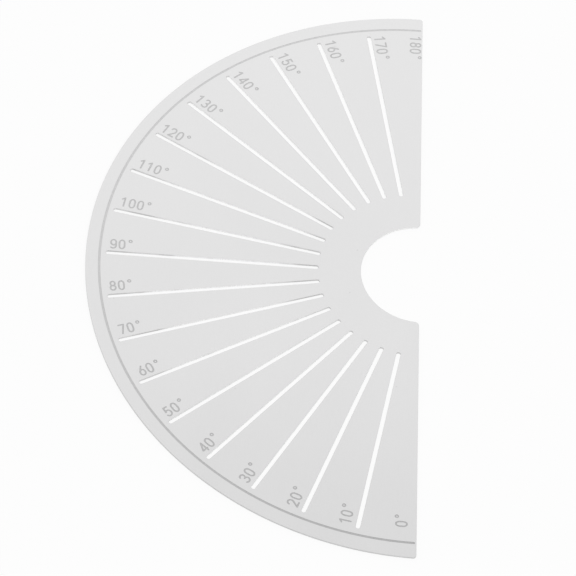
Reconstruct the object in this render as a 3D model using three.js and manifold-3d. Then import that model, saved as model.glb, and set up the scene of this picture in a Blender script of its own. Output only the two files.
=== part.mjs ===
// Half-round angle template: one thin steel sheet with a slot every ten degrees, a half-round
// notch in the straight edge, an engraved line along the rim and engraved degree numbers.
// Millimetres, +Z up. The numbers are on the upper face, 0 is towards -Y and 180 towards +Y.
import * as THREE from 'three';
import { mergeVertices } from 'three/addons/utils/BufferGeometryUtils.js';
import Module from 'manifold-3d';

const wasm = await Module();
wasm.setup();

// Sheet. Until it is centred at the end, the point where all slot lines meet is at x = 0, y = 0,
// the straight edge runs along Y just beside that point, and the sheet lies on its -X side.
const sheetThickness = 0.6;
const rimRadius = 85;
const notchRadius = 15;
const rimCentreX = 1;
const notchCentreX = 0.65;
const straightEdgeX = 0.6;
const rimCornerRadius = 0.8;
const notchCornerRadius = 1.1;

// Slots for a pencil or a scriber, cut right through.
const slotWidth = 1.1;
const slotCornerRadius = 0.5;
const slotRimGap = 6.05;
const slotNotchGap = 10.12;
const slotOuterRadius = rimRadius - slotRimGap;
const slotInnerRadius = notchRadius + slotNotchGap;
const degreeStep = 10;
const lastDegree = 180;

// Engraved line along the rim. It stops just short of the straight edge.
const engravingDepth = 0.05;
const lineWidth = 0.6;
const lineRimInset = 4.07;
const lineCentreX = 0.4;
const lineCentreY = 0.05;
const lineEndGap = 0.35;

// Engraved numbers. Each one reads from the rim inwards, beside its slot, on the side of the
// next higher number. The last one stands inside the straight edge with its top towards it.
const digitHeight = 3.1;
const digitWidth = 1.73;
const digitPitch = 2.14;
const oneWidth = 1.08;
const oneInset = 0.08;
const penWidth = 0.42;
const labelSlotGap = 0.8;
const labelIndent = 0.75;
const lastLabelEdgeGap = 0.26;

// The marks aren't spaced quite evenly. These numbers stand further in from the rim, or further
// from their slot, than the others do, by a share of the digits' height.
const labelShiftShares = {
  0: 0.54, 10: -0.07, 20: -0.06, 30: -0.05, 40: 0.01, 50: 0.03, 60: 0.19, 70: 0.05, 80: 0.03,
  90: 0.05, 100: 0.12, 110: 0.13, 120: -0.1, 130: -0.03, 140: -0.06, 150: -0.06, 160: -0.21,
  170: -0.17, 180: -0.24,
};
const labelLiftShares = {
  0: 0.07, 10: 0.13, 20: 0.09, 30: 0.04, 40: -0.05, 50: -0.04, 80: 0.03, 90: -0.06, 100: 0.03,
  120: -0.03, 140: -0.07, 150: 0.03, 160: 0.05, 170: -0.04,
};

// Degree sign: a small ring after the last digit, standing a little above the digits.
const ringDiameter = 1.04;
const ringPenWidth = 0.33;
const ringGap = 0.33;
const ringRise = 0.11;

// How far a cutting solid runs past the upper face.
const cutOverrun = 0.5;

// Steps along round stretches.
const rimSteps = 80;
const notchSteps = 28;
const cornerSteps = 4;
const slotCornerSteps = 3;
const ringSteps = 8;
const penEndSteps = 4;
const penStepDegrees = 30;

// Digits as pen strokes. A stroke is a list of points [u, v] and of elliptical arcs
// [centre u, centre v, radius u, radius v, first degree, last degree], all as shares of the box
// that the middle of the pen moves in. A stroke that ends where it began is a closed loop.
const digitStrokeShares = {
  0: [[[0.5, 0.66, 0.5, 0.34, 180, 0], [0.5, 0.34, 0.5, 0.34, 0, -180], [0, 0.66]]],
  1: [[[0, 0.81], [1, 1]], [[1, 1], [1, 0]]],
  2: [[[0.5, 0.71, 0.5, 0.29, 165, -35], [0, 0]], [[0, 0], [1, 0]]],
  3: [[[0.46, 0.76, 0.46, 0.24, 155, -90]], [[0.46, 0.26, 0.54, 0.26, 90, -145]]],
  4: [[[0.83, 0], [0.83, 1]], [[0.83, 1], [-0.05, 0.25]], [[-0.05, 0.25], [1.03, 0.25]]],
  5: [
    [[0.84, 1], [0.16, 1]],
    [[0.16, 1], [0.06, 0.5]],
    [[0.06, 0.5], [0.46, 0.32, 0.54, 0.32, 115, -150]],
  ],
  6: [[[0.7, 1], [0.07, 0.44]], [[0.5, 0.31, 0.5, 0.31, 180, -180]]],
  7: [[[0, 1], [1, 1]], [[1, 1], [0.36, 0]]],
  8: [[[0.5, 0.755, 0.43, 0.245, 90, -270]], [[0.5, 0.27, 0.5, 0.27, 90, -270]]],
  9: [[[0.46, 0.3, 0.54, 0.3, -140, 0], [1, 0.69]], [[0.5, 0.69, 0.5, 0.31, 0, -360]]],
};

// The point of a circle or an ellipse at a bearing in degrees.
function onArc(centreX, centreY, radiusX, radiusY, degrees) {
  const angle = THREE.MathUtils.degToRad(degrees);
  return new THREE.Vector2(centreX + radiusX * Math.cos(angle), centreY + radiusY * Math.sin(angle));
}

function arcPoints(centreX, centreY, radiusX, radiusY, first, last, steps) {
  const points = [];
  for (let i = 0; i <= steps; i += 1) {
    const degrees = first + ((last - first) * i) / steps;
    points.push(onArc(centreX, centreY, radiusX, radiusY, degrees));
  }
  return points;
}

// The direction from the meeting point of the slots along the line of a given degree.
function rayDirection(degree) {
  const angle = THREE.MathUtils.degToRad(degree);
  return new THREE.Vector2(-Math.sin(angle), -Math.cos(angle));
}

// A fillet between the straight edge and a circle round (circleX, 0), in the upper half.
// reach is the distance of the fillet's centre from the circle's centre.
function edgeFillet(filletRadius, circleX, reach) {
  const centreX = straightEdgeX - filletRadius;
  const centreY = Math.sqrt(reach ** 2 - (centreX - circleX) ** 2);
  const bearing = THREE.MathUtils.radToDeg(Math.atan2(centreY, centreX - circleX));
  return { centreX, centreY, bearing };
}

// The upper half of the outline, from the middle of the notch out to the middle of the rim.
function upperHalfOutline() {
  const inner = edgeFillet(notchCornerRadius, notchCentreX, notchRadius + notchCornerRadius);
  const outer = edgeFillet(rimCornerRadius, rimCentreX, rimRadius - rimCornerRadius);
  const notch = arcPoints(notchCentreX, 0, notchRadius, notchRadius, 180, inner.bearing, notchSteps / 2);
  const notchCorner = arcPoints(
    inner.centreX, inner.centreY, notchCornerRadius, notchCornerRadius,
    inner.bearing - 180, 0, cornerSteps,
  );
  const rimCorner = arcPoints(
    outer.centreX, outer.centreY, rimCornerRadius, rimCornerRadius,
    0, outer.bearing, cornerSteps,
  );
  const rim = arcPoints(rimCentreX, 0, rimRadius, rimRadius, outer.bearing, 180, rimSteps / 2);
  return [...notch, ...notchCorner.slice(1), ...rimCorner, ...rim.slice(1)];
}

function sheetOutline() {
  const upper = upperHalfOutline();
  const lower = upper.slice(1, -1).reverse().map((point) => new THREE.Vector2(point.x, -point.y));
  return [...upper, ...lower];
}

// One slot along the line of its degree, with small round corners.
function slotOutline(degree) {
  const ray = rayDirection(degree);
  const side = new THREE.Vector2(-ray.y, ray.x);
  const turn = THREE.MathUtils.radToDeg(Math.atan2(ray.y, ray.x));
  const radius = slotCornerRadius;
  const across = slotWidth / 2 - radius;
  const corner = (along, offset, first) => {
    const centre = ray.clone().multiplyScalar(along).addScaledVector(side, offset);
    return arcPoints(centre.x, centre.y, radius, radius, first, first + 90, slotCornerSteps);
  };
  return [
    ...corner(slotOuterRadius - radius, -across, turn - 90),
    ...corner(slotOuterRadius - radius, across, turn),
    ...corner(slotInnerRadius + radius, across, turn + 90),
    ...corner(slotInnerRadius + radius, -across, turn + 180),
  ];
}

// A solid for joining and cutting, from a closed three.js geometry.
function toSolid(geometry) {
  const bare = geometry.clone();
  bare.deleteAttribute('normal');
  bare.deleteAttribute('uv');
  const merged = mergeVertices(bare);
  return new wasm.Manifold(new wasm.Mesh({
    numProp: 3,
    vertProperties: new Float32Array(merged.attributes.position.array),
    triVerts: new Uint32Array(merged.index.array),
  }));
}

function toGeometry(solid) {
  const mesh = solid.getMesh();
  const geometry = new THREE.BufferGeometry();
  geometry.setAttribute('position', new THREE.BufferAttribute(mesh.vertProperties, 3));
  geometry.setIndex(new THREE.BufferAttribute(mesh.triVerts, 1));
  geometry.computeVertexNormals();
  return geometry;
}

// The sheet before engraving: its outline with the slots as holes, at its full thickness.
function plainSheet() {
  const shape = new THREE.Shape(sheetOutline());
  for (let degree = degreeStep; degree < lastDegree; degree += degreeStep) {
    shape.holes.push(new THREE.Path(slotOutline(degree)));
  }
  return new THREE.ExtrudeGeometry(shape, { depth: sheetThickness, bevelEnabled: false });
}

// A cutting solid for an engraved shape, standing from the engraving's floor past the upper face.
function engravingCutter(shape) {
  const depth = engravingDepth + cutOverrun;
  return new THREE.ExtrudeGeometry(shape, { depth, bevelEnabled: false });
}

// The line along the rim, as a band between two arcs. It was marked after the sheet was cut, so its
// centre is not quite the rim's.
function rimLineShape() {
  const radius = rimRadius - lineRimInset;
  const endX = straightEdgeX - lineEndGap - lineCentreX;
  const first = THREE.MathUtils.radToDeg(Math.acos(endX / radius));
  const last = 360 - first;
  const outer = radius + lineWidth / 2;
  const inner = radius - lineWidth / 2;
  return new THREE.Shape([
    ...arcPoints(lineCentreX, lineCentreY, outer, outer, first, last, rimSteps),
    ...arcPoints(lineCentreX, lineCentreY, inner, inner, last, first, rimSteps),
  ]);
}

// The points of one stroke, in millimetres, in a box of the given width.
function strokePoints(stroke, width) {
  const place = (share) => new THREE.Vector2(
    penWidth / 2 + share.x * (width - penWidth),
    penWidth / 2 + share.y * (digitHeight - penWidth),
  );
  const points = [];
  for (const [u, v, radiusU, radiusV, first, last] of stroke) {
    if (radiusU === undefined) {
      points.push(place(new THREE.Vector2(u, v)));
    } else {
      const steps = Math.ceil(Math.abs(last - first) / penStepDegrees);
      points.push(...arcPoints(u, v, radiusU, radiusV, first, last, steps).map(place));
    }
  }
  return points;
}

// The pen's side direction at a point of a stroke: square to the line through its neighbours.
function sideDirection(before, after) {
  return new THREE.Vector2(before.y - after.y, after.x - before.x).normalize();
}

function offsetPoints(points, sides, distance) {
  return points.map((point, i) => point.clone().addScaledVector(sides[i], distance));
}

// A closed loop drawn with the pen: the outer line, with the inner line as a hole that runs the
// other way round.
function loopShape(points) {
  const ring = points.slice(0, -1);
  const count = ring.length;
  const neighbour = (i) => ring[(i + count) % count];
  const sides = ring.map((_, i) => sideDirection(neighbour(i - 1), neighbour(i + 1)));
  const shape = new THREE.Shape(offsetPoints(ring, sides, penWidth / 2));
  shape.holes.push(new THREE.Path(offsetPoints(ring, sides, -penWidth / 2).reverse()));
  return shape;
}

// An open line drawn with the pen, with round ends.
function lineShape(points) {
  const last = points.length - 1;
  const neighbour = (i) => points[Math.min(Math.max(i, 0), last)];
  const sides = points.map((_, i) => sideDirection(neighbour(i - 1), neighbour(i + 1)));
  const turnOf = (side) => THREE.MathUtils.radToDeg(Math.atan2(side.y, side.x));
  const radius = penWidth / 2;
  const endCap = (index, first) => arcPoints(
    points[index].x, points[index].y, radius, radius, first, first - 180, penEndSteps,
  );
  return new THREE.Shape([
    ...offsetPoints(points, sides, radius).slice(1, -1),
    ...endCap(last, turnOf(sides[last])),
    ...offsetPoints(points, sides, -radius).slice(1, -1).reverse(),
    ...endCap(0, turnOf(sides[0]) + 180),
  ]);
}

// The strokes of one digit, with the left side of its cell at x = 0.
function digitCutters(digit) {
  const isOne = digit === '1';
  const width = isOne ? oneWidth : digitWidth;
  const inset = isOne ? oneInset : 0;
  return digitStrokeShares[digit].map((stroke) => {
    const points = strokePoints(stroke, width);
    const closed = points[0].distanceTo(points[points.length - 1]) < penWidth / 2;
    const shape = closed ? loopShape(points) : lineShape(points);
    return engravingCutter(shape).translate(inset, 0, 0);
  });
}

function degreeSignCutter() {
  const radius = ringDiameter / 2;
  const innerRadius = radius - ringPenWidth;
  const shape = new THREE.Shape(arcPoints(0, 0, radius, radius, 0, 360, ringSteps).slice(1));
  shape.holes.push(new THREE.Path(arcPoints(0, 0, innerRadius, innerRadius, 0, 360, ringSteps).slice(1)));
  return engravingCutter(shape).translate(radius, digitHeight + ringRise - radius, 0);
}

// A whole label with its first cell at x = 0 and its baseline at y = 0.
function labelCutters(degree) {
  const digits = String(degree);
  const cutters = [];
  for (let i = 0; i < digits.length; i += 1) {
    for (const cutter of digitCutters(digits[i])) {
      cutters.push(cutter.translate(i * digitPitch, 0, 0));
    }
  }
  cutters.push(degreeSignCutter().translate(digits.length * digitPitch + ringGap, 0, 0));
  return cutters;
}

// The label of one degree, turned and moved beside its slot.
function placedLabel(degree) {
  const ray = rayDirection(degree);
  const shift = digitHeight * (labelShiftShares[degree] ?? 0);
  const lift = digitHeight * (labelLiftShares[degree] ?? 0);
  const start = slotOuterRadius - labelIndent - shift;
  const besideSlot = slotWidth / 2 + labelSlotGap + lift;
  const insideEdge = straightEdgeX - lastLabelEdgeGap - digitHeight;
  const baseline = degree === lastDegree ? insideEdge : besideSlot;
  const turn = THREE.MathUtils.degToRad(90 - degree);
  const floorZ = sheetThickness - engravingDepth;
  return labelCutters(degree).map((cutter) => cutter
    .translate(-start, baseline, floorZ)
    .rotateZ(turn));
}

function engravedSheet() {
  let sheet = toSolid(plainSheet());
  const floorZ = sheetThickness - engravingDepth;
  sheet = sheet.subtract(toSolid(engravingCutter(rimLineShape()).translate(0, 0, floorZ)));
  for (let degree = 0; degree <= lastDegree; degree += degreeStep) {
    for (const cutter of placedLabel(degree)) {
      sheet = sheet.subtract(toSolid(cutter));
    }
  }
  return toGeometry(sheet);
}

const satinSteel = new THREE.MeshStandardMaterial({
  name: 'satin_steel',
  color: 0xd2d3d4,
  roughness: 0.5,
  metalness: 0.9,
});

const plate = new THREE.Mesh(engravedSheet(), satinSteel);
plate.name = 'protractor_plate';

// The finished sheet is centred over the origin and lies on z = 0.
plate.position.x = (rimRadius - rimCentreX - straightEdgeX) / 2;

const angleTemplate = new THREE.Group();
angleTemplate.add(plate);

export default angleTemplate;
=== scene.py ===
"""Looks for the half-round angle template: one satin steel sheet with fine edges and engraved marks."""

import math

import bpy
from mathutils import Euler, Matrix, Vector
from mathutils.geometry import delaunay_2d_cdt


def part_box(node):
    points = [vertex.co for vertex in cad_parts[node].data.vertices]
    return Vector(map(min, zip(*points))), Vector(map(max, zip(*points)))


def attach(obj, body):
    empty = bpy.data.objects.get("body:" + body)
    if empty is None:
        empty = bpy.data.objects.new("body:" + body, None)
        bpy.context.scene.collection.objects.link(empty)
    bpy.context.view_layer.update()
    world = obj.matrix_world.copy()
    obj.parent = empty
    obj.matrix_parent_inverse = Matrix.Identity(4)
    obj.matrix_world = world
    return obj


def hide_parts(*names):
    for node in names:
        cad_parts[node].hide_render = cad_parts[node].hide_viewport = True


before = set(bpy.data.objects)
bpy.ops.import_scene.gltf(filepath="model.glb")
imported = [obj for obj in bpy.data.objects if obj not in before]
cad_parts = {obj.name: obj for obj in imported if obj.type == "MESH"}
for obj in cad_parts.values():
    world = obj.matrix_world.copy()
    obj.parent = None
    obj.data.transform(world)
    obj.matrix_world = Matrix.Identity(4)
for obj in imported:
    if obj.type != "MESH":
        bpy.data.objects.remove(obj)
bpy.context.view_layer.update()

CAD_NODE = "protractor_plate"
SHEET_NAME = "template_sheet"
BODY = "root"

# The plan is worked out in millimetres, with the point where all slot lines meet at (0, 0).
MM = 0.001
low_corner, high_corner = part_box(CAD_NODE)
THICKNESS = (high_corner.z - low_corner.z) / MM
STRAIGHT_EDGE_X = 0.6
PLAN_SHIFT_X = high_corner.x / MM - STRAIGHT_EDGE_X
RIM_RADIUS = 85.0
NOTCH_RADIUS = 15.0
RIM_CENTRE_X = 1.0
NOTCH_CENTRE_X = 0.65
RIM_CORNER_RADIUS = 0.8
NOTCH_CORNER_RADIUS = 1.1
EDGE_BREAK = 0.05

# Slots, cut right through.
SLOT_WIDTH = 1.1
SLOT_CORNER_RADIUS = 0.5
SLOT_RIM_GAP = 6.05
SLOT_NOTCH_GAP = 10.12
SLOT_OUTER_RADIUS = RIM_RADIUS - SLOT_RIM_GAP
SLOT_INNER_RADIUS = NOTCH_RADIUS + SLOT_NOTCH_GAP
DEGREE_STEP = 10
LAST_DEGREE = 180

# Marks: grooves with sloping walls.
MARK_DEPTH = 0.05
MARK_WALL = 0.05
LINE_WIDTH = 0.6
LINE_RIM_INSET = 4.07
LINE_RADIUS = RIM_RADIUS - LINE_RIM_INSET
LINE_CENTRE = (0.4, 0.05)
LINE_END_GAP = 0.35
DIGIT_HEIGHT = 3.1
DIGIT_WIDTH = 1.73
DIGIT_PITCH = 2.14
ONE_WIDTH = 1.08
ONE_INSET = 0.08
PEN_WIDTH = 0.42
LABEL_SLOT_GAP = 0.8
LABEL_INDENT = 0.75
LAST_LABEL_EDGE_GAP = 0.26
RING_DIAMETER = 1.04
RING_PEN_WIDTH = 0.33
RING_GAP = 0.33
RING_RISE = 0.11

# How much further in from the rim each number stands, and how much further from its slot, as shares
# of the digits' height. A number that isn't listed has none.
LABEL_SHIFT_SHARES = {
    0: 0.54, 10: -0.07, 20: -0.06, 30: -0.05, 40: 0.01, 50: 0.03, 60: 0.19, 70: 0.05, 80: 0.03,
    90: 0.05, 100: 0.12, 110: 0.13, 120: -0.1, 130: -0.03, 140: -0.06, 150: -0.06, 160: -0.21,
    170: -0.17, 180: -0.24,
}
LABEL_LIFT_SHARES = {
    0: 0.07, 10: 0.13, 20: 0.09, 30: 0.04, 40: -0.05, 50: -0.04, 80: 0.03, 90: -0.06, 100: 0.03,
    120: -0.03, 140: -0.07, 150: 0.03, 160: 0.05, 170: -0.04,
}

# Digits as pen strokes. A stroke is a list of points (u, v) and of elliptical arcs
# (centre u, centre v, radius u, radius v, first degree, last degree), all as shares of the box
# that the middle of the pen moves in. A stroke that ends where it began is a closed loop.
DIGIT_STROKE_SHARES = {
    "0": [[(0.5, 0.66, 0.5, 0.34, 180, 0), (0.5, 0.34, 0.5, 0.34, 0, -180), (0, 0.66)]],
    "1": [[(0, 0.81), (1, 1)], [(1, 1), (1, 0)]],
    "2": [[(0.5, 0.71, 0.5, 0.29, 165, -35), (0, 0)], [(0, 0), (1, 0)]],
    "3": [[(0.46, 0.76, 0.46, 0.24, 155, -90)], [(0.46, 0.26, 0.54, 0.26, 90, -145)]],
    "4": [[(0.83, 0), (0.83, 1)], [(0.83, 1), (-0.05, 0.25)], [(-0.05, 0.25), (1.03, 0.25)]],
    "5": [
        [(0.84, 1), (0.16, 1)],
        [(0.16, 1), (0.06, 0.5)],
        [(0.06, 0.5), (0.46, 0.32, 0.54, 0.32, 115, -150)],
    ],
    "6": [[(0.7, 1), (0.07, 0.44)], [(0.5, 0.31, 0.5, 0.31, 180, -180)]],
    "7": [[(0, 1), (1, 1)], [(1, 1), (0.36, 0)]],
    "8": [[(0.5, 0.755, 0.43, 0.245, 90, -270)], [(0.5, 0.27, 0.5, 0.27, 90, -270)]],
    "9": [[(0.46, 0.3, 0.54, 0.3, -140, 0), (1, 0.69)], [(0.5, 0.69, 0.5, 0.31, 0, -360)]],
}

# Steps along round stretches.
RIM_STEPS = 240
NOTCH_STEPS = 72
CORNER_STEPS = 8
SLOT_CORNER_STEPS = 6
RING_STEPS = 24
PEN_END_STEPS = 8
PEN_STEP_DEGREES = 10

# Points of the plan that lie closer together than MERGE_GAP are one point. EVERY_TRIANGLE is the
# triangulation's output type that leaves no triangle out. An edge is shown sharp where its two faces
# meet at more than SHARP_DEGREES.
MERGE_GAP = 1e-4
EVERY_TRIANGLE = 0
SHARP_DEGREES = 28

# The sheet's material slots.
FACE, OUTER_EDGE, NOTCH_EDGE, SLOT_EDGE, LINE, NUMBER = range(6)


def arc_points(centre, radii, first, last, steps):
    points = []
    for i in range(steps + 1):
        angle = math.radians(first + (last - first) * i / steps)
        x = centre[0] + radii[0] * math.cos(angle)
        y = centre[1] + radii[1] * math.sin(angle)
        points.append(Vector((x, y)))
    return points


def circle_points(centre, radius, first, last, steps):
    return arc_points(centre, (radius, radius), first, last, steps)


def left_of(before, after):
    """The direction on the left of the way from one point to another."""
    way = after - before
    return Vector((-way.y, way.x)).normalized()


def loop_sides(loop):
    """The left-hand direction at each point of a closed loop."""
    return [left_of(loop[i - 1], loop[(i + 1) % len(loop)]) for i in range(len(loop))]


def path_sides(path):
    """The left-hand direction at each point of an open path."""
    last = len(path) - 1
    return [left_of(path[max(i - 1, 0)], path[min(i + 1, last)]) for i in range(len(path))]


def moved(points, sides, distance):
    return [point + side * distance for point, side in zip(points, sides)]


def inset(loop, distance):
    """A closed loop moved to its left."""
    return moved(loop, loop_sides(loop), distance)


def doubled_area(loop):
    """Twice the area inside a closed loop, below zero where the loop runs clockwise."""
    return sum(loop[i - 1].cross(loop[i]) for i in range(len(loop)))


def anticlockwise(loop):
    return loop if doubled_area(loop) > 0 else loop[::-1]


# Outline and slots. Each loop has the steel on its left.
def edge_fillet(radius, circle_x, reach):
    """The centre and bearing of a fillet between the straight edge and a circle round (circle_x, 0)."""
    centre_x = STRAIGHT_EDGE_X - radius
    centre_y = math.sqrt(reach**2 - (centre_x - circle_x) ** 2)
    return (centre_x, centre_y), math.degrees(math.atan2(centre_y, centre_x - circle_x))


def sheet_outline():
    inner_reach = NOTCH_RADIUS + NOTCH_CORNER_RADIUS
    outer_reach = RIM_RADIUS - RIM_CORNER_RADIUS
    inner, inner_bearing = edge_fillet(NOTCH_CORNER_RADIUS, NOTCH_CENTRE_X, inner_reach)
    outer, outer_bearing = edge_fillet(RIM_CORNER_RADIUS, RIM_CENTRE_X, outer_reach)
    upper = [
        *circle_points((NOTCH_CENTRE_X, 0), NOTCH_RADIUS, 180, inner_bearing, NOTCH_STEPS // 2),
        *circle_points(inner, NOTCH_CORNER_RADIUS, inner_bearing - 180, 0, CORNER_STEPS)[1:],
        *circle_points(outer, RIM_CORNER_RADIUS, 0, outer_bearing, CORNER_STEPS),
        *circle_points((RIM_CENTRE_X, 0), RIM_RADIUS, outer_bearing, 180, RIM_STEPS // 2)[1:],
    ]
    lower = [Vector((point.x, -point.y)) for point in reversed(upper[1:-1])]
    return upper + lower


def ray_of(degree):
    """The direction from the meeting point of the slots along the line of a degree."""
    angle = math.radians(degree)
    return Vector((-math.sin(angle), -math.cos(angle)))


def slot_outline(degree):
    ray = ray_of(degree)
    side = Vector((-ray.y, ray.x))
    turn = math.degrees(math.atan2(ray.y, ray.x))
    outer = SLOT_OUTER_RADIUS - SLOT_CORNER_RADIUS
    inner = SLOT_INNER_RADIUS + SLOT_CORNER_RADIUS
    across = SLOT_WIDTH / 2 - SLOT_CORNER_RADIUS
    corners = ((outer, across, 90), (outer, -across, 0), (inner, -across, -90), (inner, across, -180))
    points = []
    for along, offset, first in corners:
        centre = ray * along + side * offset
        bearing = turn + first
        points += circle_points(centre, SLOT_CORNER_RADIUS, bearing, bearing - 90, SLOT_CORNER_STEPS)
    return points


# Marks. A stroke is the path of the pen, the pen's width and the material slot.
def digit_paths(digit):
    """The pen's paths for one digit, with the left side of its cell at x = 0."""
    width = ONE_WIDTH if digit == "1" else DIGIT_WIDTH
    start = Vector((ONE_INSET if digit == "1" else 0, 0))
    corner = start + Vector((PEN_WIDTH / 2, PEN_WIDTH / 2))
    box = Vector((width - PEN_WIDTH, DIGIT_HEIGHT - PEN_WIDTH))
    paths = []
    for stroke in DIGIT_STROKE_SHARES[digit]:
        path = []
        for u, v, *arc in stroke:
            centre = corner + Vector((u * box.x, v * box.y))
            if arc:
                radius_u, radius_v, first, last = arc
                steps = math.ceil(abs(last - first) / PEN_STEP_DEGREES)
                path += arc_points(centre, (radius_u * box.x, radius_v * box.y), first, last, steps)
            else:
                path.append(centre)
        paths.append(path)
    return paths


def label_paths(degree):
    """The paths and pen widths of one label, with its first cell at x = 0 and its baseline at y = 0."""
    digits = str(degree)
    found = []
    for place, digit in enumerate(digits):
        step = Vector((place * DIGIT_PITCH, 0))
        found += [([point + step for point in path], PEN_WIDTH) for path in digit_paths(digit)]
    radius = RING_DIAMETER / 2
    centre = (len(digits) * DIGIT_PITCH + RING_GAP + radius, DIGIT_HEIGHT + RING_RISE - radius)
    ring = circle_points(centre, radius - RING_PEN_WIDTH / 2, 0, 360, RING_STEPS)
    return found + [(ring, RING_PEN_WIDTH)]


def placed_label(degree):
    """The strokes of one label, turned and moved beside its slot."""
    shift = DIGIT_HEIGHT * LABEL_SHIFT_SHARES.get(degree, 0)
    lift = DIGIT_HEIGHT * LABEL_LIFT_SHARES.get(degree, 0)
    baseline = SLOT_WIDTH / 2 + LABEL_SLOT_GAP + lift
    if degree == LAST_DEGREE:
        baseline = STRAIGHT_EDGE_X - LAST_LABEL_EDGE_GAP - DIGIT_HEIGHT
    place = Vector((LABEL_INDENT + shift - SLOT_OUTER_RADIUS, baseline))
    turn = Matrix.Rotation(math.radians(90 - degree), 2)
    strokes = []
    for path, width in label_paths(degree):
        strokes.append(([turn @ (point + place) for point in path], width, NUMBER))
    return strokes


def rim_line_stroke():
    """The line along the rim. Its round ends stop just short of the straight edge."""
    end_x = STRAIGHT_EDGE_X - LINE_END_GAP - LINE_WIDTH / 2 - LINE_CENTRE[0]
    first = math.degrees(math.acos(end_x / LINE_RADIUS))
    return circle_points(LINE_CENTRE, LINE_RADIUS, first, 360 - first, RIM_STEPS), LINE_WIDTH, LINE


def all_strokes():
    strokes = [rim_line_stroke()]
    for degree in range(0, LAST_DEGREE + 1, DEGREE_STEP):
        strokes += placed_label(degree)
    return strokes


def is_loop(path):
    return (path[0] - path[-1]).length < PEN_WIDTH / 2


def stroke_outlines(path, radius):
    """A stroke's outer outline at a distance from its path, and for a closed loop the inner one."""
    if is_loop(path):
        ring = path[:-1]
        sides = loop_sides(ring)
        outlines = [anticlockwise(moved(ring, sides, side * radius)) for side in (1, -1)]
        return sorted(outlines, key=doubled_area, reverse=True)
    sides = path_sides(path)
    turns = [math.degrees(math.atan2(side.y, side.x)) for side in (sides[0], sides[-1])]
    outline = [
        *moved(path, sides, radius)[1:-1],
        *circle_points(path[-1], radius, turns[1], turns[1] - 180, PEN_END_STEPS),
        *moved(path, sides, -radius)[1:-1][::-1],
        *circle_points(path[0], radius, turns[0] + 180, turns[0], PEN_END_STEPS),
    ]
    return [anticlockwise(outline)]


def distance_to_path(point, path):
    nearest = math.inf
    for start, end in zip(path, path[1:]):
        way = end - start
        share = min(max((point - start).dot(way) / way.length_squared, 0), 1)
        nearest = min(nearest, (point - start - way * share).length)
    return nearest


def mark_depth_at(point, stroke):
    """How deep a stroke's groove is at a point: full depth in the middle, rising along its walls."""
    path, width, _ = stroke
    share = (width / 2 - distance_to_path(point, path)) / MARK_WALL
    return MARK_DEPTH * min(max(share, 0), 1)


class Plan:
    """Closed outlines in the plane, and the triangles between them."""

    def __init__(self):
        self.points = []
        self.loops = []

    def add(self, loop):
        """Adds an anticlockwise loop and returns its number."""
        first = len(self.points)
        self.points += loop
        self.loops.append(list(range(first, first + len(loop))))
        return len(self.loops) - 1

    def fill(self):
        """Returns the corners, the triangles, the loops round each triangle, and each point's corner."""
        corners, _, triangles, sources, _, holders = delaunay_2d_cdt(
            self.points, [], self.loops, EVERY_TRIANGLE, MERGE_GAP
        )
        corner_of = {source: corner for corner, found in enumerate(sources) for source in found}
        return corners, triangles, [set(found) for found in holders], corner_of


class SheetMesh:
    """The corners and faces of the sheet, with the material slot of each face."""

    def __init__(self):
        self.corners = []
        self.faces = []
        self.looks = []

    def add_corner(self, point, height):
        self.corners.append((point.x, point.y, height))
        return len(self.corners) - 1

    def add_face(self, corners, look):
        self.faces.append(corners)
        self.looks.append(look)

    def add_surface(self, rims, strokes, height, up):
        """One face of the sheet between its rims, with its grooves. Returns the corners of each rim."""
        plan = Plan()
        loops = [anticlockwise(rim) for rim in rims]
        rim_numbers = [plan.add(loop) for loop in loops]
        outer, holes = rim_numbers[0], set(rim_numbers[1:])
        stroke_of = {}
        for number, (path, width, _) in enumerate(strokes):
            for reach in (width / 2, width / 2 - MARK_WALL):
                outlines = [plan.add(outline) for outline in stroke_outlines(path, reach)]
                stroke_of[outlines[0]] = number
        corners, triangles, holders, corner_of = plan.fill()

        kept = []
        touching = {}
        for triangle, held_by in zip(triangles, holders):
            if outer not in held_by or held_by & holes:
                continue
            middle = sum((corners[corner] for corner in triangle), Vector((0, 0))) / 3
            near = {stroke_of[loop] for loop in held_by if loop in stroke_of}
            near = {number for number in near if mark_depth_at(middle, strokes[number]) > 0}
            kept.append((triangle, strokes[min(near)][2] if near else FACE))
            for corner in triangle:
                touching.setdefault(corner, set()).update(near)

        new_corner = {}
        for corner, near in touching.items():
            depth = max((mark_depth_at(corners[corner], strokes[number]) for number in near), default=0)
            new_corner[corner] = self.add_corner(corners[corner], height - depth)
        for triangle, look in kept:
            face = [new_corner[corner] for corner in triangle]
            self.add_face(face if up else face[::-1], look)

        rings = []
        for rim, loop, number in zip(rims, loops, rim_numbers):
            ring = [new_corner[corner_of[point]] for point in plan.loops[number]]
            rings.append(ring if loop is rim else ring[::-1])
        return rings

    def add_strip(self, lower, upper, looks):
        """Faces between two rings of as many corners, facing away from the steel on their left."""
        for i, look in enumerate(looks):
            self.add_face([lower[i - 1], lower[i], upper[i], upper[i - 1]], look)

    def to_mesh(self, name, shift_x):
        mesh = bpy.data.meshes.new(name)
        places = [((x + shift_x) * MM, y * MM, z * MM) for x, y, z in self.corners]
        mesh.from_pydata(places, [], self.faces)
        mesh.polygons.foreach_set("material_index", self.looks)
        mesh.polygons.foreach_set("use_smooth", [True] * len(self.faces))
        mesh.set_sharp_from_angle(angle=math.radians(SHARP_DEGREES))
        return mesh


def outline_look(before, after):
    """The notch has its own look, and the rim and the straight edge share another."""
    from_centre = ((before + after) / 2 - Vector((NOTCH_CENTRE_X, 0))).length
    return NOTCH_EDGE if from_centre < NOTCH_RADIUS + NOTCH_CORNER_RADIUS else OUTER_EDGE


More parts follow.
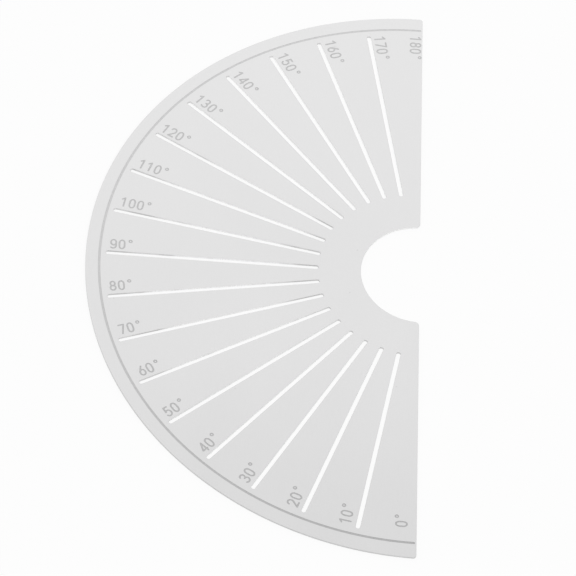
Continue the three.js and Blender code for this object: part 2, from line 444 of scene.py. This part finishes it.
def build_sheet():
    rims = [sheet_outline()] + [slot_outline(d) for d in range(DEGREE_STEP, LAST_DEGREE, DEGREE_STEP)]
    inner_rims = [inset(rim, EDGE_BREAK) for rim in rims]
    build = SheetMesh()
    top = build.add_surface(inner_rims, all_strokes(), THICKNESS, up=True)
    bottom = build.add_surface(inner_rims, [], 0, up=False)
    for number, (rim, top_ring, bottom_ring) in enumerate(zip(rims, top, bottom)):
        faces = [FACE] * len(rim)
        edges = [SLOT_EDGE if number else outline_look(rim[i - 1], rim[i]) for i in range(len(rim))]
        high_ring = [build.add_corner(point, THICKNESS - EDGE_BREAK) for point in rim]
        low_ring = [build.add_corner(point, EDGE_BREAK) for point in rim]
        build.add_strip(high_ring, top_ring, faces)
        build.add_strip(low_ring, high_ring, edges)
        build.add_strip(bottom_ring, low_ring, faces)
    return bpy.data.objects.new(SHEET_NAME, build.to_mesh(SHEET_NAME, PLAN_SHIFT_X))


sheet = build_sheet()
bpy.context.scene.collection.objects.link(sheet)

# Materials. Places on the sheet are object coordinates, in metres, so a texture's scale is in cells
# for each metre.
RISING = (0, 1)
FALLING = (1, 0)
NOISE_DETAIL = 2


class Material:
    """A Principled material and short ways to add nodes to it."""

    def __init__(self, name, metallic):
        self.data = bpy.data.materials.new(name)
        self.data.use_nodes = True
        self.tree = self.data.node_tree
        self.shader = self.tree.nodes["Principled BSDF"]
        self.shader.inputs["Metallic"].default_value = metallic
        self.places = self.node("ShaderNodeTexCoord").outputs["Object"]

    def node(self, kind, **settings):
        made = self.tree.nodes.new(kind)
        for name, value in settings.items():
            setattr(made, name, value)
        return made

    def link(self, source, target):
        self.tree.links.new(source, target)

    def feed(self, values, sockets):
        """Sets each socket to a number, or links it to another node's output."""
        for value, socket in zip(values, sockets):
            if isinstance(value, (int, float)):
                socket.default_value = value
            else:
                self.link(value, socket)

    def coordinate(self, axis):
        """One object coordinate, by the letter of its axis."""
        split = self.node("ShaderNodeSeparateXYZ")
        self.link(self.places, split.inputs["Vector"])
        return split.outputs[axis]

    def noise(self, scale, detail=NOISE_DETAIL):
        """Noise with its own scale along each axis."""
        mapping = self.node("ShaderNodeMapping")
        mapping.inputs["Scale"].default_value = scale
        self.link(self.places, mapping.inputs["Vector"])
        texture = self.node("ShaderNodeTexNoise")
        texture.inputs["Scale"].default_value = 1
        texture.inputs["Detail"].default_value = detail
        self.link(mapping.outputs["Vector"], texture.inputs["Vector"])
        return texture.outputs["Fac"]

    def remap(self, value, span, new_span):
        """A value carried from one span to another, and held at the new one's ends."""
        made = self.node("ShaderNodeMapRange")
        names = ("Value", "From Min", "From Max", "To Min", "To Max")
        self.feed((value, *span, *new_span), [made.inputs[name] for name in names])
        return made.outputs["Result"]

    def maths(self, operation, first, second):
        made = self.node("ShaderNodeMath", operation=operation)
        self.feed((first, second), made.inputs)
        return made.outputs["Value"]

    def total(self, first, *others):
        for other in others:
            first = self.maths("ADD", first, other)
        return first

    def along_sheet(self, greys, last_y, power=1):
        """A tone that goes from one grey at the sheet's 0-degree end to another from last_y onwards."""
        share = self.remap(self.coordinate("Y"), (-RIM_RADIUS * MM, last_y * MM), RISING)
        return self.remap(self.maths("POWER", share, power), RISING, greys)

    def grey(self, value, tint):
        """The base colour: one brightness times a tint."""
        made = self.node("ShaderNodeVectorMath", operation="SCALE")
        made.inputs[0].default_value = tint
        self.link(value, made.inputs["Scale"])
        self.link(made.outputs["Vector"], self.shader.inputs["Base Color"])

    def roughness(self, value):
        self.feed((value,), (self.shader.inputs["Roughness"],))

    def bump(self, height, strength, distance):
        made = self.node("ShaderNodeBump")
        made.inputs["Strength"].default_value = strength
        made.inputs["Distance"].default_value = distance
        self.link(height, made.inputs["Height"])
        self.link(made.outputs["Normal"], self.shader.inputs["Normal"])


# Tones. A pair of greys is the tone at the sheet's 0-degree end, and the one from a named Y onwards.
# Every kind of steel has the same tint.
STEEL_TINT = (1.0, 0.9976, 0.9993)
# The face's greys: the darker one at the 0-degree end is painted shade.
STEEL_GREYS = (0.6555, 0.6885)
STEEL_SHADE_Y = -30.0
OUTER_EDGE_GREYS = (0.64, 0.64)
NOTCH_EDGE_GREYS = (0.9, 0.9)
# The slot walls' greys: paler towards the 180-degree end, a painted reflection of the bright
# surroundings.
SLOT_EDGE_GREYS = (0.84, 0.96)
# Mark greys: the marks are dark in themselves; their further darkening towards the 0-degree end is
# painted shade.
LINE_GREYS = (0.41, 0.578)
LINE_SHADE_POWER = 0.5
NUMBER_GREYS = (0.458, 0.5215)
MARK_SHADE_Y = 10.0

# The middle of a noise's values, which is spread over the tones or roughnesses that it gives.
NOISE_SPAN = (0.25, 0.75)
CLOUD_SPAN = (0.3, 0.7)
PATCH_SPAN = (0.35, 0.65)

# The sheet's faces: a rolled grain, a blasted texture, wide clouds and a few dark specks.
GRAIN_SCALE = (6500, 260, 6500)
GRAIN_TONES = (-0.012, 0.012)
GRAIN_ROUGHNESSES = (0.44, 0.52)
BLAST_SCALE = (5200, 5200, 5200)
BLAST_DETAIL = 1
BLAST_TONES = (-0.01, 0.01)
CLOUD_SCALE = (38, 24, 38)
CLOUD_DETAIL = 3
CLOUD_TONES = (-0.01, 0.01)
CLOUD_ROUGHNESSES = (-0.02, 0.02)
SPECK_SCALE = 130
SPECK_SPAN = (0.015, 0.03)
SPECK_TONES = (-0.09, 0)
FACE_BUMP_STRENGTH = 0.12
FACE_BUMP_DISTANCE = 0.01 * MM


def satin_steel():
    """Matt steel with a fine rolled grain along Y, soft clouds, a few tiny specks, and painted shade
    that darkens it towards the 0-degree end.
    """
    steel = Material("satin_steel", metallic=1)
    grain = steel.noise(GRAIN_SCALE)
    blast = steel.noise(BLAST_SCALE, BLAST_DETAIL)
    clouds = steel.noise(CLOUD_SCALE, CLOUD_DETAIL)
    specks = steel.node("ShaderNodeTexVoronoi")
    specks.inputs["Scale"].default_value = SPECK_SCALE
    steel.link(steel.places, specks.inputs["Vector"])
    tone = steel.total(
        steel.remap(grain, NOISE_SPAN, GRAIN_TONES),
        steel.remap(blast, NOISE_SPAN, BLAST_TONES),
        steel.remap(clouds, CLOUD_SPAN, CLOUD_TONES),
        # Painted shade: the face turns darker towards the 0-degree end.
        steel.along_sheet(STEEL_GREYS, STEEL_SHADE_Y),
        steel.remap(specks.outputs["Distance"], SPECK_SPAN, SPECK_TONES),
    )
    steel.grey(tone, STEEL_TINT)
    grain_roughness = steel.remap(grain, NOISE_SPAN, GRAIN_ROUGHNESSES)
    cloud_roughness = steel.remap(clouds, CLOUD_SPAN, CLOUD_ROUGHNESSES)
    steel.roughness(steel.total(grain_roughness, cloud_roughness))
    steel.bump(steel.total(grain, blast), FACE_BUMP_STRENGTH, FACE_BUMP_DISTANCE)
    return steel.data


# The cut walls: fine lines across the thickness.
CUT_SCALE = (3800, 3800, 260)
CUT_TONES = (0.88, 1.12)
CUT_ROUGHNESSES = (0.38, 0.56)
CUT_BUMP_STRENGTH = 0.3
CUT_BUMP_DISTANCE = 0.02 * MM

# Painted shade on the slot walls near their ends, on the slots near 90 degrees. It grows from none to
# full between two turns, in degrees from the straight edge, and reaches along a slot by one length from
# its inner end and by another from its outer end.
SLOT_SHADE_GREY = 0.6
SLOT_SHADE_TURNS = (35, 75)
SLOT_SHADE_REACHES = (14, 22)
SLOT_SHADE_SPAN = (0.1, 0.9)
SHADE_PATCH_SCALE = (110, 110, 110)
SHADE_PATCHES = (-0.45, 0.45)

# Painted shade on the short walls at a slot's inner and outer end: their darker greys, and the distances
# from the end over which their tone gives way to that of the long walls.
SLOT_TIP_SHADE_GREYS = (0.62, 0.7)
SLOT_TIP_REACHES = (0.2, 0.45)


def slot_radius(steel):
    """How far a place is from the point where all slot lines meet."""
    radius = steel.node("ShaderNodeVectorMath", operation="DISTANCE")
    radius.inputs[1].default_value = (PLAN_SHIFT_X * MM, 0, THICKNESS * MM / 2)
    steel.link(steel.places, radius.inputs[0])
    return radius.outputs["Value"]


def burn_at_slot_ends(steel, radius):
    """Where painted shade darkens the slot walls: 0 along the middle of a slot, and up to 1 in uneven
    patches near the ends of the slots near 90.
    """
    inner, outer = SLOT_INNER_RADIUS * MM, SLOT_OUTER_RADIUS * MM
    inner_reach, outer_reach = (reach * MM for reach in SLOT_SHADE_REACHES)
    near_notch = steel.remap(radius, (inner, inner + inner_reach), FALLING)
    near_rim = steel.remap(radius, (outer - outer_reach, outer), RISING)
    patches = steel.remap(steel.noise(SHADE_PATCH_SCALE), PATCH_SPAN, SHADE_PATCHES)
    ends = steel.total(steel.maths("MAXIMUM", near_notch, near_rim), patches)
    reach_x = steel.maths("SUBTRACT", PLAN_SHIFT_X * MM, steel.coordinate("X"))
    turn_shares = [math.sin(math.radians(degree)) for degree in SLOT_SHADE_TURNS]
    turned = steel.remap(steel.maths("DIVIDE", reach_x, radius), turn_shares, RISING)
    return steel.remap(steel.maths("MULTIPLY", ends, turned), SLOT_SHADE_SPAN, RISING)


def slot_tips(steel, radius, tone):
    """A tone with painted shade: it turns dark on the short wall at a slot's inner end, and less so at
    its outer end.
    """
    near, far = (reach * MM for reach in SLOT_TIP_REACHES)
    inner, outer = SLOT_INNER_RADIUS * MM, SLOT_OUTER_RADIUS * MM
    inner_tip = steel.remap(radius, (inner + near, inner + far), FALLING)
    outer_tip = steel.remap(radius, (outer - far, outer - near), RISING)
    inner_grey, outer_grey = SLOT_TIP_SHADE_GREYS
    tone = steel.remap(inner_tip, RISING, (tone, inner_grey))
    return steel.remap(outer_tip, RISING, (tone, outer_grey))


def cut_edge(name, greys, shaded_ends=False):
    """The walls that the cutting left, with fine lines across the sheet's thickness, and with painted
    shade near the slot ends where it is asked for.
    """
    steel = Material(name, metallic=1)
    lines = steel.noise(CUT_SCALE)
    # Where the two greys differ, as on the slot walls, the paler 180-degree end is a painted reflection.
    tone = steel.along_sheet(greys, RIM_RADIUS)
    if shaded_ends:
        # Painted shade on the slot walls near their ends and on their short end walls.
        radius = slot_radius(steel)
        end_shade = burn_at_slot_ends(steel, radius)
        tone = slot_tips(steel, radius, steel.remap(end_shade, RISING, (tone, SLOT_SHADE_GREY)))
    line_tones = steel.remap(lines, NOISE_SPAN, CUT_TONES)
    steel.grey(steel.maths("MULTIPLY", tone, line_tones), STEEL_TINT)
    steel.roughness(steel.remap(lines, NOISE_SPAN, CUT_ROUGHNESSES))
    steel.bump(lines, CUT_BUMP_STRENGTH, CUT_BUMP_DISTANCE)
    return steel.data


# The marks: an even mottle.
MARK_SCALE = (4200, 4200, 4200)
MARK_TONES = (0.9, 1.1)
MARK_ROUGHNESS = 0.55


def etched_mark(name, greys, power=1):
    """A matt mark, dark in itself, with painted shade that makes it darkest at the 0-degree end and
    palest at the 180-degree end.
    """
    steel = Material(name, metallic=1)
    mottle = steel.remap(steel.noise(MARK_SCALE), NOISE_SPAN, MARK_TONES)
    # Painted shade: the mark turns darker towards the 0-degree end.
    tone = steel.along_sheet(greys, MARK_SHADE_Y, power)
    steel.grey(steel.maths("MULTIPLY", tone, mottle), STEEL_TINT)
    steel.roughness(MARK_ROUGHNESS)
    return steel.data


# In the order of the sheet's material slots.
for made in (
    satin_steel(),
    cut_edge("outer_edge", OUTER_EDGE_GREYS),
    cut_edge("notch_edge", NOTCH_EDGE_GREYS),
    cut_edge("slot_edge", SLOT_EDGE_GREYS, shaded_ends=True),
    etched_mark("line_mark", LINE_GREYS, LINE_SHADE_POWER),
    etched_mark("number_mark", NUMBER_GREYS),
):
    sheet.data.materials.append(made)

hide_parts(CAD_NODE)
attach(sheet, BODY)

# Stage: a white floor just under the sheet, an even white world, a large soft lamp behind the sheet
# and a weaker one in front. The floor and the world show plain white behind the sheet. Sizes and
# distances are in metres, and the lamps' powers in watts.
WHITE = (1, 1, 1, 1)
FLOOR_SIZE = 6.0
FLOOR_DROP = 0.02 * MM
FLOOR_WHITE = 0.98
FLOOR_ROUGHNESS = 1
GLOW_SHARE = 0.85
WORLD_STRENGTH = 0.82
LAMP_DISTANCE = 1.6


def larger(tree, first, second):
    made = tree.nodes.new("ShaderNodeMath")
    made.operation = "MAXIMUM"
    tree.links.new(first, made.inputs[0])
    tree.links.new(second, made.inputs[1])
    return made.outputs["Value"]


def sees_background(tree):
    """1 for rays that should see a plain white background: from the camera, in gloss or in glass."""
    rays = tree.nodes.new("ShaderNodeLightPath").outputs
    either = larger(tree, rays["Is Camera Ray"], rays["Is Glossy Ray"])
    return larger(tree, either, rays["Is Transmission Ray"])


def add_floor():
    """A white floor that glows towards the camera, and keeps the sheet's shadow at a lower strength."""
    bpy.ops.mesh.primitive_plane_add(size=FLOOR_SIZE, location=(0, 0, -FLOOR_DROP))
    floor = bpy.context.object
    floor.name = "floor"
    material = Material("floor", metallic=0)
    material.shader.inputs["Base Color"].default_value = (FLOOR_WHITE, FLOOR_WHITE, FLOOR_WHITE, 1)
    material.roughness(FLOOR_ROUGHNESS)
    glow = material.node("ShaderNodeEmission")
    share = material.maths("MULTIPLY", sees_background(material.tree), GLOW_SHARE)
    mix = material.node("ShaderNodeMixShader")
    material.link(share, mix.inputs["Fac"])
    material.link(material.shader.outputs["BSDF"], mix.inputs[1])
    material.link(glow.outputs["Emission"], mix.inputs[2])
    material.link(mix.outputs["Shader"], material.tree.nodes["Material Output"].inputs["Surface"])
    floor.data.materials.append(material.data)


def add_world():
    """An even white light, with plain white in its place for rays that see the background."""
    world = bpy.data.worlds.new("studio")
    bpy.context.scene.world = world
    world.use_nodes = True
    tree = world.node_tree
    light = tree.nodes["Background"]
    light.inputs["Color"].default_value = WHITE
    light.inputs["Strength"].default_value = WORLD_STRENGTH
    white = tree.nodes.new("ShaderNodeBackground")
    white.inputs["Color"].default_value = WHITE
    white.inputs["Strength"].default_value = 1
    mix = tree.nodes.new("ShaderNodeMixShader")
    tree.links.new(sees_background(tree), mix.inputs["Fac"])
    tree.links.new(light.outputs["Background"], mix.inputs[1])
    tree.links.new(white.outputs["Background"], mix.inputs[2])
    tree.links.new(mix.outputs["Shader"], tree.nodes["World Output"].inputs["Surface"])


def look_from(azimuth, elevation):
    """The turn of a lamp or camera that looks at the sheet. Azimuth 0 is on the -Y side, 180 on +Y."""
    return Euler((math.radians(90 - elevation), 0, math.radians(azimuth))).to_matrix().to_4x4()


def add_lamp(name, azimuth, elevation, size, power):
    """A soft rectangle of light that faces the sheet."""
    lamp = bpy.data.objects.new(name, bpy.data.lights.new(name, "AREA"))
    bpy.context.scene.collection.objects.link(lamp)
    lamp.data.shape = "RECTANGLE"
    lamp.data.size, lamp.data.size_y = size
    lamp.data.energy = power
    lamp.visible_camera = False
    lamp.matrix_world = look_from(azimuth, elevation) @ Matrix.Translation((0, 0, LAMP_DISTANCE))


add_floor()
add_world()
add_lamp("back_softbox", azimuth=180, elevation=30, size=(1.6, 1.0), power=2.5)
add_lamp("front_fill", azimuth=40, elevation=50, size=(1.2, 1.2), power=1.5)

# Camera, at the photograph's viewing angle: target and distance in metres, angles in degrees, lens
# and sensor in millimetres.
VIEW_TARGET = Vector((0.00906, -0.00726, 0.0006))
VIEW_AZIMUTH = -4.31
VIEW_ELEVATION = 53.16
VIEW_ROLL = 7.54
VIEW_DISTANCE = 0.9482
VIEW_LENS = 235.5
SENSOR_WIDTH = 36.0
CLIP_END = 20.0


def add_camera():
    camera = bpy.data.objects.new("camera", bpy.data.cameras.new("camera"))
    bpy.context.scene.collection.objects.link(camera)
    camera.data.lens = VIEW_LENS
    camera.data.sensor_width = SENSOR_WIDTH
    camera.data.clip_end = CLIP_END
    look = look_from(VIEW_AZIMUTH, VIEW_ELEVATION)
    roll = Matrix.Rotation(math.radians(VIEW_ROLL), 4, "Z")
    back = look @ Vector((0, 0, VIEW_DISTANCE))
    camera.matrix_world = Matrix.Translation(VIEW_TARGET + back) @ look @ roll
    bpy.context.scene.camera = camera


add_camera()
bpy.context.scene.view_settings.view_transform = "Standard"
